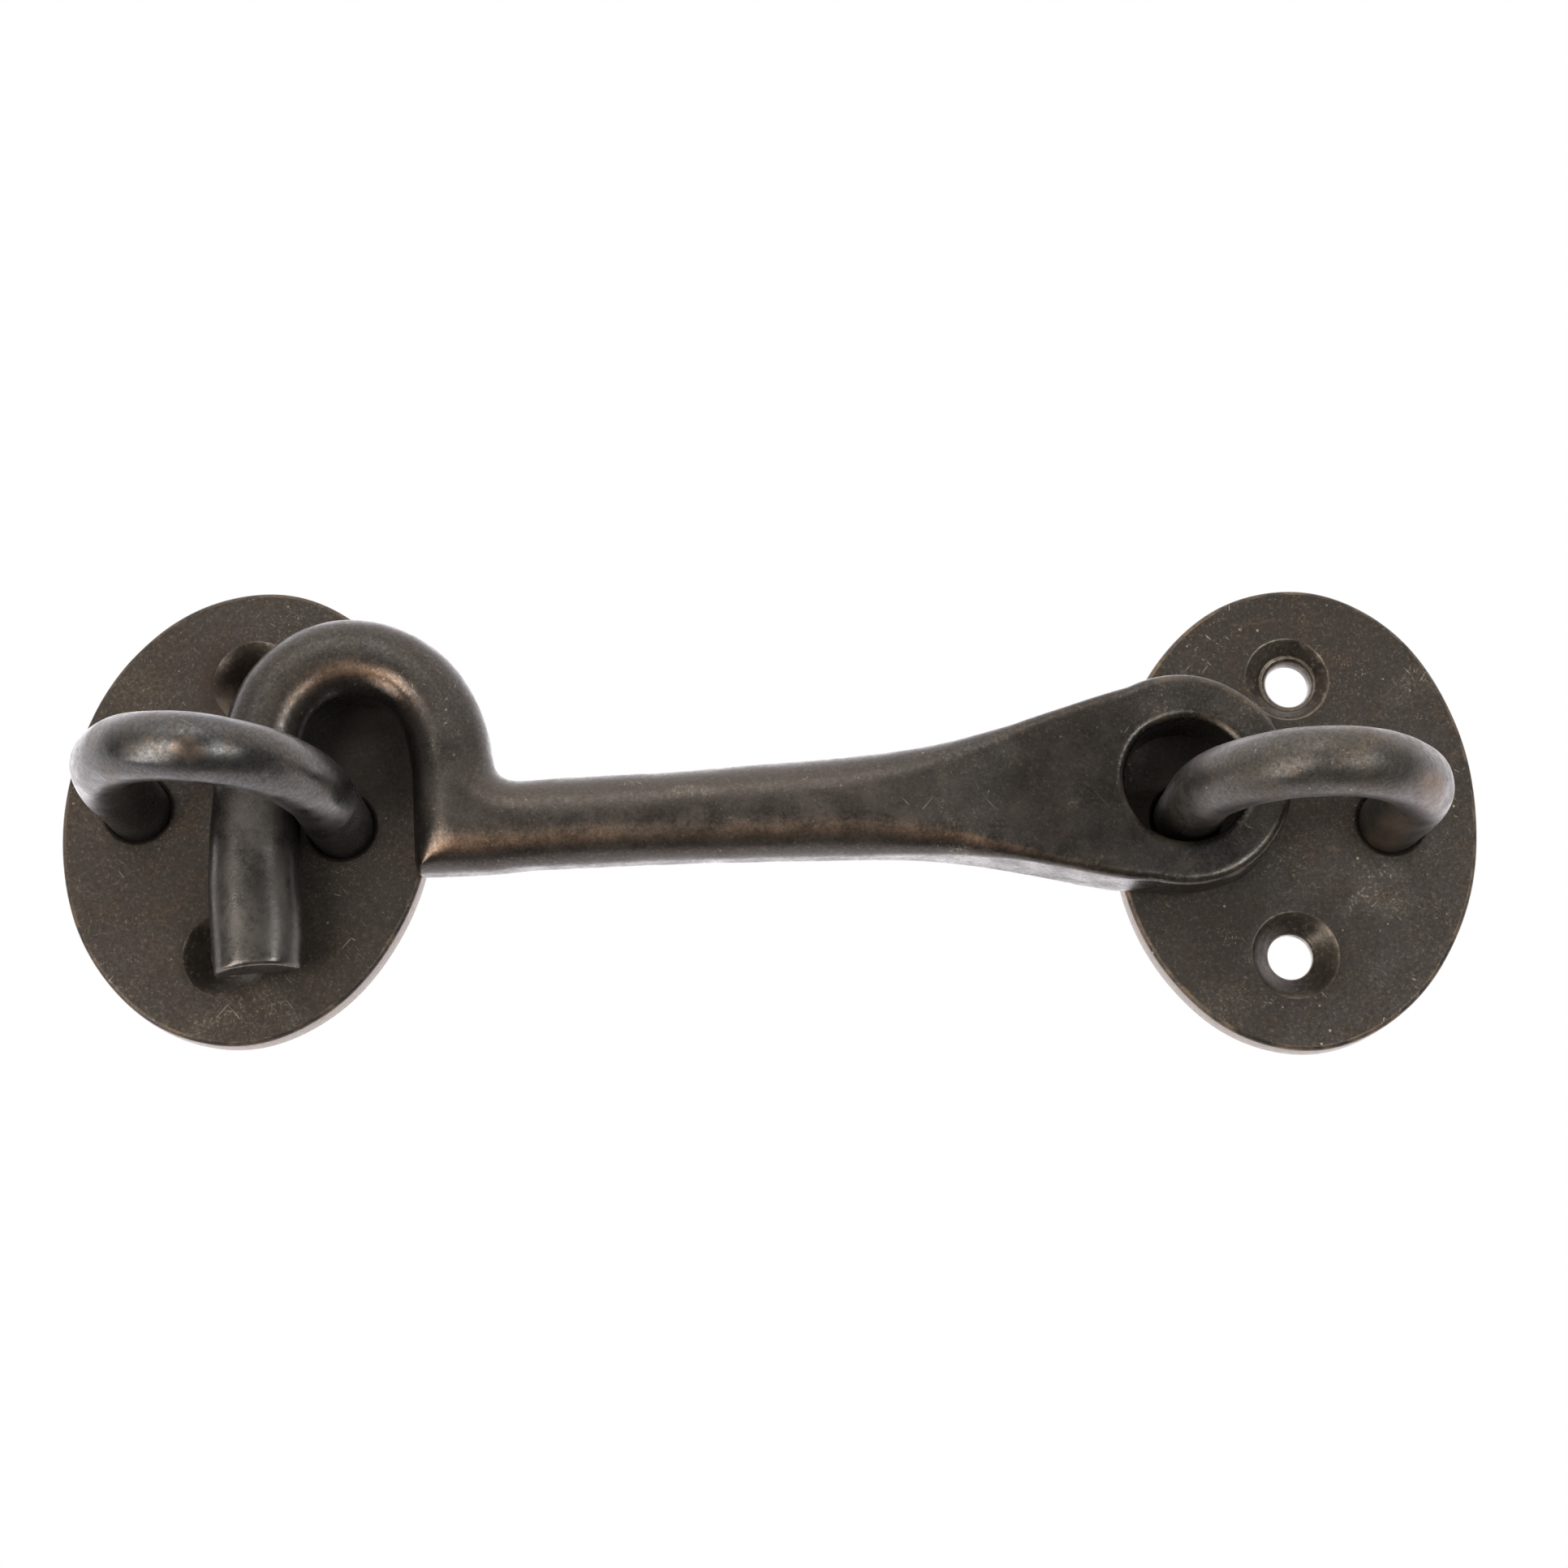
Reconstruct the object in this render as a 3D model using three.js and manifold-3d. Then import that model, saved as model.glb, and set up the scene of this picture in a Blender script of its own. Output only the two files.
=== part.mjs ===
// Cabin hook: a cast hook bar that pivots on one riveted staple and drops
// over a second one, each staple fixed in its own oval screw plate.
//
// Frame, millimetres: the origin is the centre of the pivot plate's hole
// pattern on its back face.  The plates' backs lie on the plane Y = 0 and
// everything else stands out from it towards -Y.  +Z is up, and +X runs from
// the keeper plate towards the pivot plate.

import * as THREE from 'three';
import { mergeVertices } from 'three/addons/utils/BufferGeometryUtils.js';
import Module from 'manifold-3d';

const wasm = await Module();
wasm.setup();

// ---- driving dimensions ---------------------------------------------------

const CENTRES = 101.6;            // pivot staple to keeper staple
const KEEPER_RISE = 0.15;         // keeper sits this much above the pivot
const PIVOT_TURN = 0.017;         // clockwise turn of the pivot plate, radians
const KEEPER_TURN = 0.086;        // clockwise turn of the keeper plate, radians

const PLATE_T = 3.2;              // plate thickness
const PLATE_A = 17.58;            // plate half width
const PLATE_B = 22.56;            // plate half height
const PLATE_OFF_X = 0.73;         // the oval against its hole pattern
const PLATE_OFF_Z = 0.41;
const PLATE_EDGE = 0.4;           // rounded edge of the plate

const SCREW_PITCH = 27.0;         // the two screw holes, one above the other
const SCREW_R = 2.1;              // No. 8 clearance hole
const SINK_R = 4.18;              // countersink mouth
const SINK_DEPTH = 2.15;

const BAR_R = 3.1;                // staple bar radius
const LEG_PITCH = 19.89;          // staple leg to leg
const LEG_STRAIGHT = 10.14;       // straight leg above the plate front
const ARCH_RISE = 15.75;          // height of the half-ellipse above the legs
const KEEPER_LEAN = 0.0165;       // staple lean upwards per unit of height
const PIVOT_LEAN = -0.0368;
const LEG_GAP = 0.18;             // leg to its hole, radially
const TAIL_R = 4.0;               // riveted tail at the back of the plate
const TAIL_H = 1.3;
const TAIL_SINK = 0.25;           // tail end below the plate's back face

const ARM_GAP = 0.3;              // arm to the plate fronts
const BAR_DEPTH = 7.7;            // depth of the hook bar, along Y
const EYE_DEPTH = 7.4;            // depth of the flat eye
const BAR_EDGE = 2.3;             // rounded edges of the hook bar
const EYE_EDGE = 0.65;            // rounded edges of the eye
const EYE_X = -11.1, EYE_Z = 2.2, EYE_R = 10.28;
const EYE_HOLE_X = -10.75, EYE_HOLE_Z = 2.13, EYE_HOLE_R = 5.95;
const EYE_FROM = -1.83, EYE_TO = 2.06;   // where the flare meets the eye's round, radians

// Outline of the hook bar, X and Z, anticlockwise from the lower side of the
// shank where it runs into the eye: the shank's upper side, round the outside
// of the hook to its tip, back up the inside of the hook to the square heel
// below the shank, and along the shank's lower side.
const UPPER = [
  [-18.4, 10.52], [-20.73, 9.76], [-23.06, 8.97], [-25.39, 8.2], [-27.71, 7.49],
  [-30.02, 6.86], [-32.33, 6.28], [-34.64, 5.77], [-36.95, 5.38], [-39.26, 5.1],
  [-41.57, 4.86], [-46.2, 4.44], [-53.93, 3.76], [-60.11, 3.28], [-66.28, 2.88],
  [-72.4, 2.52]];
const NECK_FILLET = [[-74.4, 2.5], [-75.5, 2.85], [-76.3, 3.65], [-76.76, 4.99]];
const CROWN = [
  [-77.25, 7.4], [-78.1, 9.85], [-79.2, 12.0], [-80.55, 13.9], [-82.1, 15.45],
  [-83.75, 16.65], [-85.6, 17.6], [-87.7, 18.28], [-90.05, 18.55], [-92.3, 18.38],
  [-94.35, 17.83], [-96.2, 16.98], [-97.8, 15.88], [-99.2, 14.5], [-100.37, 12.95],
  [-101.3, 11.2], [-102.0, 9.2], [-102.6, 6.4], [-103.0, 3.4], [-103.2, 0.2],
  [-103.2, -4.0], [-102.98, -8.4], [-102.5, -12.6]];
const TIP = [[-101.95, -15.85], [-94.3, -15.2]];
const BIGHT = [
  [-94.3, -11.0], [-94.66, -7.74], [-95.0, -4.57], [-95.1, 0.0], [-95.05, 4.0],
  [-94.75, 7.0], [-94.1, 8.75], [-93.0, 10.0], [-91.7, 10.65], [-90.2, 10.85],
  [-88.6, 10.65], [-87.2, 10.0], [-86.1, 8.95], [-85.2, 7.3], [-84.65, 5.4],
  [-84.25, 3.2], [-84.0, 0.2], [-83.75, -4.0]];
const HEEL = [[-83.5, -6.5]];
const LOWER = [
  [-77.2, -6.35], [-72.45, -5.85], [-66.28, -5.46], [-60.11, -5.17], [-53.93, -4.95],
  [-47.75, -4.8], [-41.56, -4.73], [-36.95, -4.7], [-34.64, -4.75], [-32.33, -4.88],
  [-30.02, -5.1], [-27.71, -5.4], [-25.39, -5.77], [-23.06, -6.2], [-20.73, -6.68],
  [-18.39, -7.12]];

// ---- helpers --------------------------------------------------------------

const solid = (geometry) => {
  const g = geometry.clone();
  g.deleteAttribute('normal');
  g.deleteAttribute('uv');
  const m = mergeVertices(g, 1e-5);
  return new wasm.Manifold(new wasm.Mesh({
    numProp: 3,
    vertProperties: new Float32Array(m.attributes.position.array),
    triVerts: new Uint32Array(m.index.array)
  }));
};

const geometryOf = (manifold) => {
  const m = manifold.getMesh();
  const g = new THREE.BufferGeometry();
  g.setAttribute('position', new THREE.BufferAttribute(new Float32Array(m.vertProperties), 3));
  g.setIndex(new THREE.BufferAttribute(new Uint32Array(m.triVerts), 1));
  g.computeVertexNormals();
  return g;
};

// A shape drawn in X and Z, extruded in depth and centred on Y = 0.
const slab = (points, depth, edge, segments, holes = []) => {
  const shape = new THREE.Shape(points.map(([x, z]) => new THREE.Vector2(x, z)));
  for (const h of holes) shape.holes.push(h);
  const g = new THREE.ExtrudeGeometry(shape, {
    depth: depth - 2 * edge, bevelEnabled: edge > 0, bevelThickness: edge,
    bevelSize: edge, bevelOffset: -edge, bevelSegments: segments
  });
  g.translate(0, 0, -(depth - 2 * edge) / 2);
  g.rotateX(Math.PI / 2);         // the drawing's Y becomes Z, its depth runs to -Y
  return g;
};

const ring = (cx, cz, rx, rz, n) =>
  Array.from({ length: n }, (_, i) => {
    const a = 2 * Math.PI * i / n;
    return [cx + rx * Math.cos(a), cz + rz * Math.sin(a)];
  });

// A turned shape about an axis parallel to Y: profile of [radius, y].
const turned = (profile, x, z, n = 32) => {
  const g = new THREE.LatheGeometry(profile.map(([r, y]) => new THREE.Vector2(r, y)), n);
  g.translate(x, 0, z);
  return g;
};

// The staple's centre line: leg, half-ellipse, leg.
class StapleLine extends THREE.Curve {
  constructor(lean) { super(); this.lean = lean; }
  getPoint(t, target = new THREE.Vector3()) {
    const half = LEG_PITCH / 2, leg = 0.22;
    let x, h;
    if (t < leg) { x = -half; h = LEG_STRAIGHT * t / leg; }
    else if (t > 1 - leg) { x = half; h = LEG_STRAIGHT * (1 - t) / leg; }
    else {
      const a = Math.PI * (t - leg) / (1 - 2 * leg);
      x = -half * Math.cos(a); h = LEG_STRAIGHT + ARCH_RISE * Math.sin(a);
    }
    return target.set(x, -PLATE_T - h, this.lean * h);
  }
}

// ---- pieces ---------------------------------------------------------------

const makePlate = () => {
  let body = solid(slab(ring(PLATE_OFF_X, PLATE_OFF_Z, PLATE_A, PLATE_B, 64), PLATE_T, PLATE_EDGE, 2)
    .translate(0, -PLATE_T / 2, 0));
  for (const z of [SCREW_PITCH / 2, -SCREW_PITCH / 2]) {
    body = body.subtract(solid(turned([
      [0, -PLATE_T - 1], [SINK_R + 1 * (SINK_R - SCREW_R) / SINK_DEPTH, -PLATE_T - 1],
      [SCREW_R, -PLATE_T + SINK_DEPTH], [SCREW_R, 1], [0, 1]], 0, z, 28)));
  }
  const boreR = BAR_R + LEG_GAP, mouthR = TAIL_R + LEG_GAP;
  for (const x of [-LEG_PITCH / 2, LEG_PITCH / 2]) {
    body = body.subtract(solid(turned([
      [0, -PLATE_T - 1], [boreR, -PLATE_T - 1], [boreR, -TAIL_SINK - TAIL_H],
      [mouthR, -TAIL_SINK], [mouthR, 1], [0, 1]], x, 0)));
  }
  return geometryOf(body);
};

const makeStaple = (lean) => {
  const section = new THREE.Shape(ring(0, 0, BAR_R, BAR_R, 16).map(([a, b]) => new THREE.Vector2(a, b)));
  let body = solid(new THREE.ExtrudeGeometry(section, {
    steps: 44, bevelEnabled: false, extrudePath: new StapleLine(lean)
  }));
  for (const x of [-LEG_PITCH / 2, LEG_PITCH / 2]) {
    body = body.add(solid(turned([
      [0, -PLATE_T - 0.4], [BAR_R - 0.02, -PLATE_T - 0.4], [BAR_R - 0.02, -TAIL_SINK - TAIL_H],
      [TAIL_R - 0.05, -TAIL_SINK - 0.12], [TAIL_R - 0.4, -TAIL_SINK], [0, -TAIL_SINK]], x, 0, 28)));
  }
  return geometryOf(body);
};

const makeArm = () => {
  // The bar, thinned evenly about its middle plane as it runs into the eye.
  const bar = slab([[-16.4, 9.6], ...UPPER.slice(1), ...NECK_FILLET, ...CROWN, ...TIP, ...BIGHT,
    ...HEEL, ...LOWER.slice(0, -1), [-16.4, -6.2]],
    BAR_DEPTH, BAR_EDGE, 3);
  const p = bar.attributes.position;
  for (let i = 0; i < p.count; i++) {
    const t = THREE.MathUtils.smoothstep(p.getX(i), -46, -20);
    p.setY(i, p.getY(i) * THREE.MathUtils.lerp(1, (EYE_DEPTH - 0.3) / BAR_DEPTH, t));
  }
  // The flat eye and the flare that leads into it.  The flare starts narrower
  // than the bar, so its sharper edges grow out of the bar's round ones.
  const eye = [];
  for (let i = 0; i <= 34; i++) {
    const a = EYE_FROM + (EYE_TO - EYE_FROM) * i / 34;
    eye.push([EYE_X + EYE_R * Math.cos(a), EYE_Z + EYE_R * Math.sin(a)]);
  }
  const inset = (x) => 0.1 + 1.7 * (1 - THREE.MathUtils.smoothstep(x, -42, -25));
  const flareUpper = UPPER.slice(0, 11).map(([x, z]) => [x, z - inset(x)]);
  const flareLower = LOWER.slice(6).map(([x, z]) => [x, z + inset(x)]);
  const flare = slab([...eye, ...flareUpper, ...flareLower], EYE_DEPTH, EYE_EDGE, 2);
  const hole = turned([[0, -10], [EYE_HOLE_R, -10], [EYE_HOLE_R, 10], [0, 10]], EYE_HOLE_X, EYE_HOLE_Z, 40);
  const lip = (profile) => turned(profile, EYE_HOLE_X, EYE_HOLE_Z, 40);
  const near = EYE_DEPTH / 2 - 0.6, far = EYE_DEPTH / 2 + 0.6;
  const back = lip([[0, near], [EYE_HOLE_R, near], [EYE_HOLE_R + 1.2, far], [0, far]]);
  const front = lip([[0, -far], [EYE_HOLE_R + 1.2, -far], [EYE_HOLE_R, -near], [0, -near]]);
  const body = solid(bar).add(solid(flare))
    .subtract(solid(hole)).subtract(solid(back)).subtract(solid(front));
  const g = geometryOf(body);
  g.translate(0, -PLATE_T - ARM_GAP - BAR_DEPTH / 2, 0);
  return g;
};

// ---- assembly -------------------------------------------------------------

const bronze = (colour, roughness) =>
  new THREE.MeshStandardMaterial({ color: colour, roughness, metalness: 0.9 });

const named = (name, geometry, material) => {
  const mesh = new THREE.Mesh(geometry, material);
  mesh.name = name;
  return mesh;
};

const hardware = new THREE.Group();

const pivot = new THREE.Group();
pivot.rotation.y = PIVOT_TURN;
pivot.add(named('pivot_plate', makePlate(), bronze(0x3a3530, 0.55)));
pivot.add(named('pivot_staple', makeStaple(PIVOT_LEAN), bronze(0x3d3a37, 0.45)));
hardware.add(pivot);

const keeper = new THREE.Group();
keeper.position.set(-CENTRES, 0, KEEPER_RISE);
keeper.rotation.y = KEEPER_TURN;
keeper.add(named('keeper_plate', makePlate(), bronze(0x35322e, 0.55)));
keeper.add(named('keeper_staple', makeStaple(KEEPER_LEAN), bronze(0x3a3836, 0.4)));
hardware.add(keeper);

hardware.add(named('hook_arm', makeArm(), bronze(0x33312f, 0.42)));

export default hardware;
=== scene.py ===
# Looks for the cabin hook.  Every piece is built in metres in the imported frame.
import bpy
import math
import numpy as np
from mathutils import Matrix, Vector
from mathutils.geometry import delaunay_2d_cdt


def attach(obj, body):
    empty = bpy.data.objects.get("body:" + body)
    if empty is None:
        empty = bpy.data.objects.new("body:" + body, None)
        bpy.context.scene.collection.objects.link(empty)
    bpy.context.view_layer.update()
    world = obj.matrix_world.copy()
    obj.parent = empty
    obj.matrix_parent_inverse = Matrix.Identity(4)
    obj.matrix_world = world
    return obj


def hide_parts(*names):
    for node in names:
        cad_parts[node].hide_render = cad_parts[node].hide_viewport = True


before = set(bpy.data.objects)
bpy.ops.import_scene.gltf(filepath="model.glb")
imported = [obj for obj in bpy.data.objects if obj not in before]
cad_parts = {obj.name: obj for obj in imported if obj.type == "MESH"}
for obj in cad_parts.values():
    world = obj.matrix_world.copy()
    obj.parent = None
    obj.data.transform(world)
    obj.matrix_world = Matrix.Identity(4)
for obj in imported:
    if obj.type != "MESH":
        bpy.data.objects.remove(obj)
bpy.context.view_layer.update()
MM = 0.001

# ---- sizes, millimetres, the same as the frame ----------------------------
CENTRES, KEEPER_RISE = 101.6, 0.15
PIVOT_TURN, KEEPER_TURN = 0.017, 0.086
PLATE_T, PLATE_A, PLATE_B, OFF_X, OFF_Z = 3.2, 17.58, 22.56, 0.73, 0.41
SCREW_PITCH, SCREW_R, SINK_R, SINK_D = 27.0, 2.1, 4.18, 2.15
BAR_R, LEG_PITCH, LEG_STRAIGHT, ARCH_RISE = 3.1, 19.89, 10.14, 15.75
ARM_GAP, BAR_DEPTH, EYE_DEPTH = 0.3, 7.7, 7.4
EYE = (-11.1, 2.2, 10.28)
HOLE = (-10.75, 2.13, 5.95)

UPPER = [
    (-18.4, 10.52), (-20.73, 9.76), (-23.06, 8.97), (-25.39, 8.2), (-27.71, 7.49),
    (-30.02, 6.86), (-32.33, 6.28), (-34.64, 5.77), (-36.95, 5.38), (-39.26, 5.1),
    (-41.57, 4.86), (-46.2, 4.44), (-53.93, 3.76), (-60.11, 3.28), (-66.28, 2.88),
    (-72.4, 2.52), (-74.4, 2.5), (-75.5, 2.85), (-76.3, 3.65), (-76.76, 4.99),
    (-77.25, 7.4), (-78.1, 9.85), (-79.2, 12.0), (-80.55, 13.9), (-82.1, 15.45),
    (-83.75, 16.65), (-85.6, 17.6), (-87.7, 18.28), (-90.05, 18.55), (-92.3, 18.38),
    (-94.35, 17.83), (-96.2, 16.98), (-97.8, 15.88), (-99.2, 14.5), (-100.37, 12.95),
    (-101.3, 11.2), (-102.0, 9.2), (-102.6, 6.4), (-103.0, 3.4), (-103.2, 0.2),
    (-103.25, -4.0), (-103.1, -8.4), (-102.7, -12.6), (-102.25, -15.9), (-101.4, -20.5)]
INNER = [
    (-93.8, -20.0), (-94.1, -15.2), (-94.2, -11.0), (-94.62, -7.74), (-95.0, -4.57),
    (-95.1, 0.0), (-95.05, 4.0), (-94.75, 7.0), (-94.1, 8.75), (-93.0, 10.0),
    (-91.7, 10.65), (-90.2, 10.85), (-88.6, 10.65), (-87.2, 10.0), (-86.1, 8.95),
    (-85.2, 7.3), (-84.65, 5.4), (-84.25, 3.2), (-84.0, 0.2), (-83.75, -4.0), (-83.5, -6.3)]
LOWER = [
    (-83.35, -6.42), (-77.2, -6.22), (-72.45, -5.76), (-66.28, -5.42), (-60.11, -5.17),
    (-53.93, -4.95), (-47.75, -4.8), (-41.56, -4.73), (-36.95, -4.7), (-34.64, -4.75),
    (-32.33, -4.88), (-30.02, -5.1), (-27.71, -5.4), (-25.39, -5.77), (-23.06, -6.2),
    (-20.73, -6.68), (-18.39, -7.12), (-16.1, -7.5)]
TIP_A, TIP_B = (-102.2, -16.35), (-94.05, -15.6)      # the straight cut end of the hook

rng = np.random.default_rng(7)


# ---- small mesh helpers ---------------------------------------------------
def smoothstep(x, a, b):
    t = np.clip((x - a) / (b - a), 0, 1)
    return t * t * (3 - 2 * t)


def spline(pts, per=8):
    """Centripetal Catmull-Rom through an open run of points."""
    p = np.array(pts, float)
    p = np.vstack([2 * p[0] - p[1], p, 2 * p[-1] - p[-2]])
    out = []
    for i in range(1, len(p) - 2):
        p0, p1, p2, p3 = p[i - 1:i + 3]
        t0 = 0.0
        t1 = t0 + np.linalg.norm(p1 - p0) ** 0.5
        t2 = t1 + np.linalg.norm(p2 - p1) ** 0.5
        t3 = t2 + np.linalg.norm(p3 - p2) ** 0.5
        for t in np.linspace(t1, t2, per, endpoint=False):
            a1 = (t1 - t) / (t1 - t0) * p0 + (t - t0) / (t1 - t0) * p1
            a2 = (t2 - t) / (t2 - t1) * p1 + (t - t1) / (t2 - t1) * p2
            a3 = (t3 - t) / (t3 - t2) * p2 + (t - t2) / (t3 - t2) * p3
            b1 = (t2 - t) / (t2 - t0) * a1 + (t - t0) / (t2 - t0) * a2
            b2 = (t3 - t) / (t3 - t1) * a2 + (t - t1) / (t3 - t1) * a3
            out.append((t2 - t) / (t2 - t1) * b1 + (t - t1) / (t2 - t1) * b2)
    out.append(p[-2])
    return np.array(out)


class Waves:
    """A smooth, repeatable unevenness: a sum of plane waves of one wavelength."""

    def __init__(self, wavelength, count, seed):
        r = np.random.default_rng(seed)
        d = r.normal(size=(count, 3))
        self.k = d / np.linalg.norm(d, axis=1)[:, None] * (2 * np.pi / wavelength) * r.uniform(0.7, 1.4, (count, 1))
        self.ph = r.uniform(0, 2 * np.pi, count)

    def __call__(self, p):
        return np.sin(p @ self.k.T + self.ph).sum(1) / math.sqrt(len(self.ph))


def make_object(name, verts_mm, faces, smooth=True, attrs=None):
    me = bpy.data.meshes.new(name)
    me.from_pydata((np.asarray(verts_mm) * MM).tolist(), [], [tuple(map(int, f)) for f in faces])
    me.validate()
    me.update()
    me.polygons.foreach_set("use_smooth", [smooth] * len(me.polygons))
    for key, val in (attrs or {}).items():
        a = me.attributes.new(key, "FLOAT", "POINT")
        a.data.foreach_set("value", np.asarray(val, np.float32))
    ob = bpy.data.objects.new(name, me)
    bpy.context.scene.collection.objects.link(ob)
    return ob


def turn(p, angle, dx, dz):
    """Clockwise turn seen from the front, then a shift: the same as the frame's groups."""
    c, s = math.cos(angle), math.sin(angle)
    q = p.copy()
    q[:, 0] = p[:, 0] * c + p[:, 2] * s + dx
    q[:, 2] = -p[:, 0] * s + p[:, 2] * c + dz
    return q


# ---- the hook arm: a cast solid, meshed from its distance field ------------
def arm_outline():
    cx, cz, r = EYE
    arc = [(cx + r * math.cos(a), cz + r * math.sin(a)) for a in np.linspace(-1.83, 2.06, 70)]
    upper = spline(UPPER, 7)
    inner = spline(INNER, 7)
    lower = spline(LOWER, 7)
    return np.vstack([arc, upper, inner, lower])


OUT = arm_outline()


def seg_distance(p, poly):
    """Signed distance to a closed polygon, negative inside."""
    a = poly
    b = np.roll(poly, -1, axis=0)
    keep = np.linalg.norm(b - a, axis=1) > 1e-6
    a, b = a[keep], b[keep]
    d = b - a
    L = (d ** 2).sum(1)
    res = np.empty(len(p))
    for s in range(0, len(p), 4000):
        q = p[s:s + 4000]
        t = np.clip(((q[:, None, 0] - a[:, 0]) * d[:, 0] + (q[:, None, 1] - a[:, 1]) * d[:, 1]) / L, 0, 1)
        ex = q[:, None, 0] - a[:, 0] - t * d[:, 0]
        ey = q[:, None, 1] - a[:, 1] - t * d[:, 1]
        dist = np.sqrt((ex * ex + ey * ey).min(1))
        cond = (a[:, 1] > q[:, None, 1]) != (b[:, 1] > q[:, None, 1])
        with np.errstate(divide="ignore", invalid="ignore"):
            xi = a[:, 0] + (q[:, None, 1] - a[:, 1]) * d[:, 0] / d[:, 1]
        ins = (cond & (q[:, None, 0] < xi)).sum(1) % 2 == 1
        res[s:s + 4000] = np.where(ins, -dist, dist)
    return res


# A fine grid of the outline's distance, read back with cubic smoothness.
GX0, GZ0, GSTEP = -107.0, -20.0, 0.2
GNX, GNZ = int(112.0 / GSTEP), int(43.0 / GSTEP)
_gx, _gz = np.meshgrid(GX0 + GSTEP * np.arange(GNX), GZ0 + GSTEP * np.arange(GNZ), indexing="ij")
GRID = seg_distance(np.stack([_gx.ravel(), _gz.ravel()], 1), OUT).reshape(GNX, GNZ)


def blurred(g, sigma):
    n = int(3 * sigma)
    k = np.exp(-0.5 * (np.arange(-n, n + 1) / sigma) ** 2)
    k /= k.sum()
    g = np.pad(g, n, mode="edge")
    g = sum(w * g[i:i + g.shape[0] - 2 * n] for i, w in enumerate(k))
    return sum(w * g[:, i:i + g.shape[1] - 2 * n] for i, w in enumerate(k))


# Well inside, the distance is smoothed, so that the domed front has no crease down its middle.
_soft = blurred(GRID, 1.1 / GSTEP)
_w = smoothstep(-GRID, 0.4, 2.6)
GRID = GRID * (1 - _w) + _soft * _w
_nx, _nz = np.gradient(blurred(GRID, 0.5 / GSTEP), GSTEP)
# the outline is where the section is widest, a little fuller to the upper left than the mid-plane's
_bar = 1 - smoothstep(_gx, -44.0, -21.0)
GRID = GRID - _bar * 0.27 * np.clip(-0.62 * _nx + 0.72 * _nz, 0, 1)


def outline_distance(x, z):
    u = np.clip((x - GX0) / GSTEP, 1, GNX - 3)
    v = np.clip((z - GZ0) / GSTEP, 1, GNZ - 3)
    i, j = u.astype(int), v.astype(int)
    fu, fv = u - i, v - j

    def w(t):
        return [((2 - t) * t - 1) * t / 2, (t * t * (3 * t - 5) + 2) / 2,
                ((4 - 3 * t) * t + 1) * t / 2, (t - 1) * t * t / 2]
    wu, wv = w(fu), w(fv)
    out = 0
    for a in range(4):
        for b in range(4):
            out = out + wu[a] * wv[b] * GRID[i + a - 1, j + b - 1]
    return out


Y_MID = -(PLATE_T + ARM_GAP + BAR_DEPTH / 2)
swell, ripple = Waves(17.0, 7, 3), Waves(6.0, 9, 4)


def rounded(u, v, a, b):
    """Corner between two faces at distances u and v, rounded by a and b."""
    p = np.maximum(u / a + 1, 0)
    q = np.maximum(v / b + 1, 0)
    k = np.minimum(a, b)
    return (np.sqrt(p * p + q * q) - 1) * k + np.minimum(np.maximum(u / a + 1, v / b + 1), 0) * k


def arm_field(p):
    x, y, z = p[:, 0], p[:, 1], p[:, 2]
    d = outline_distance(x, z)
    t = smoothstep(x, -44.0, -21.0)                       # 0 in the bar, 1 in the eye
    half = BAR_DEPTH / 2 + (EYE_DEPTH - BAR_DEPTH) / 2 * t
    front = smoothstep(Y_MID - y, -1.2, 1.2)              # 1 on the front half
    hook = smoothstep(-x, 76.0, 80.0)
    a = (1 - t) * (3.0 + 0.85 * front) + t * (0.6 + 0.35 * front)
    b = (1 - t) * (2.9 + 0.75 * front) + t * (0.6 + 0.25 * front)
    v = np.abs(y - Y_MID) - half
    f = rounded(d, v, a, b)
    cx, cz, r = HOLE
    dh = r - np.hypot(x - cx, z - cz)
    f = np.maximum(f, rounded(dh, v, 0.95, 0.6))
    # the cut end of the hook
    ta, tb = np.array(TIP_A), np.array(TIP_B)
    n = np.array([tb[1] - ta[1], -(tb[0] - ta[0])])
    n = n / np.linalg.norm(n)
    end = (x - ta[0]) * n[0] + (z - ta[1]) * n[1]
    across = (x - ta[0]) / (tb[0] - ta[0]) * 2 - 1
    end = end + 0.22 * (1 - across ** 2) * front          # slightly hollow at the front,
    end = end + 0.30 * np.maximum(y - Y_MID, 0)           # and relieved behind
    near = end > -6
    k = 0.32
    h = np.maximum(k - np.abs(f - end), 0) / k
    f = np.where(near, np.maximum(f, end) + h * h * k * 0.25, f)
    return f + 0.045 * swell(p) + 0.018 * ripple(p)


def gradient(fn, p, e=0.02):
    g = np.empty_like(p)
    for k in range(3):
        s = np.zeros(3)
        s[k] = e
        g[:, k] = (fn(p + s) - fn(p - s)) / (2 * e)
    return g


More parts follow.
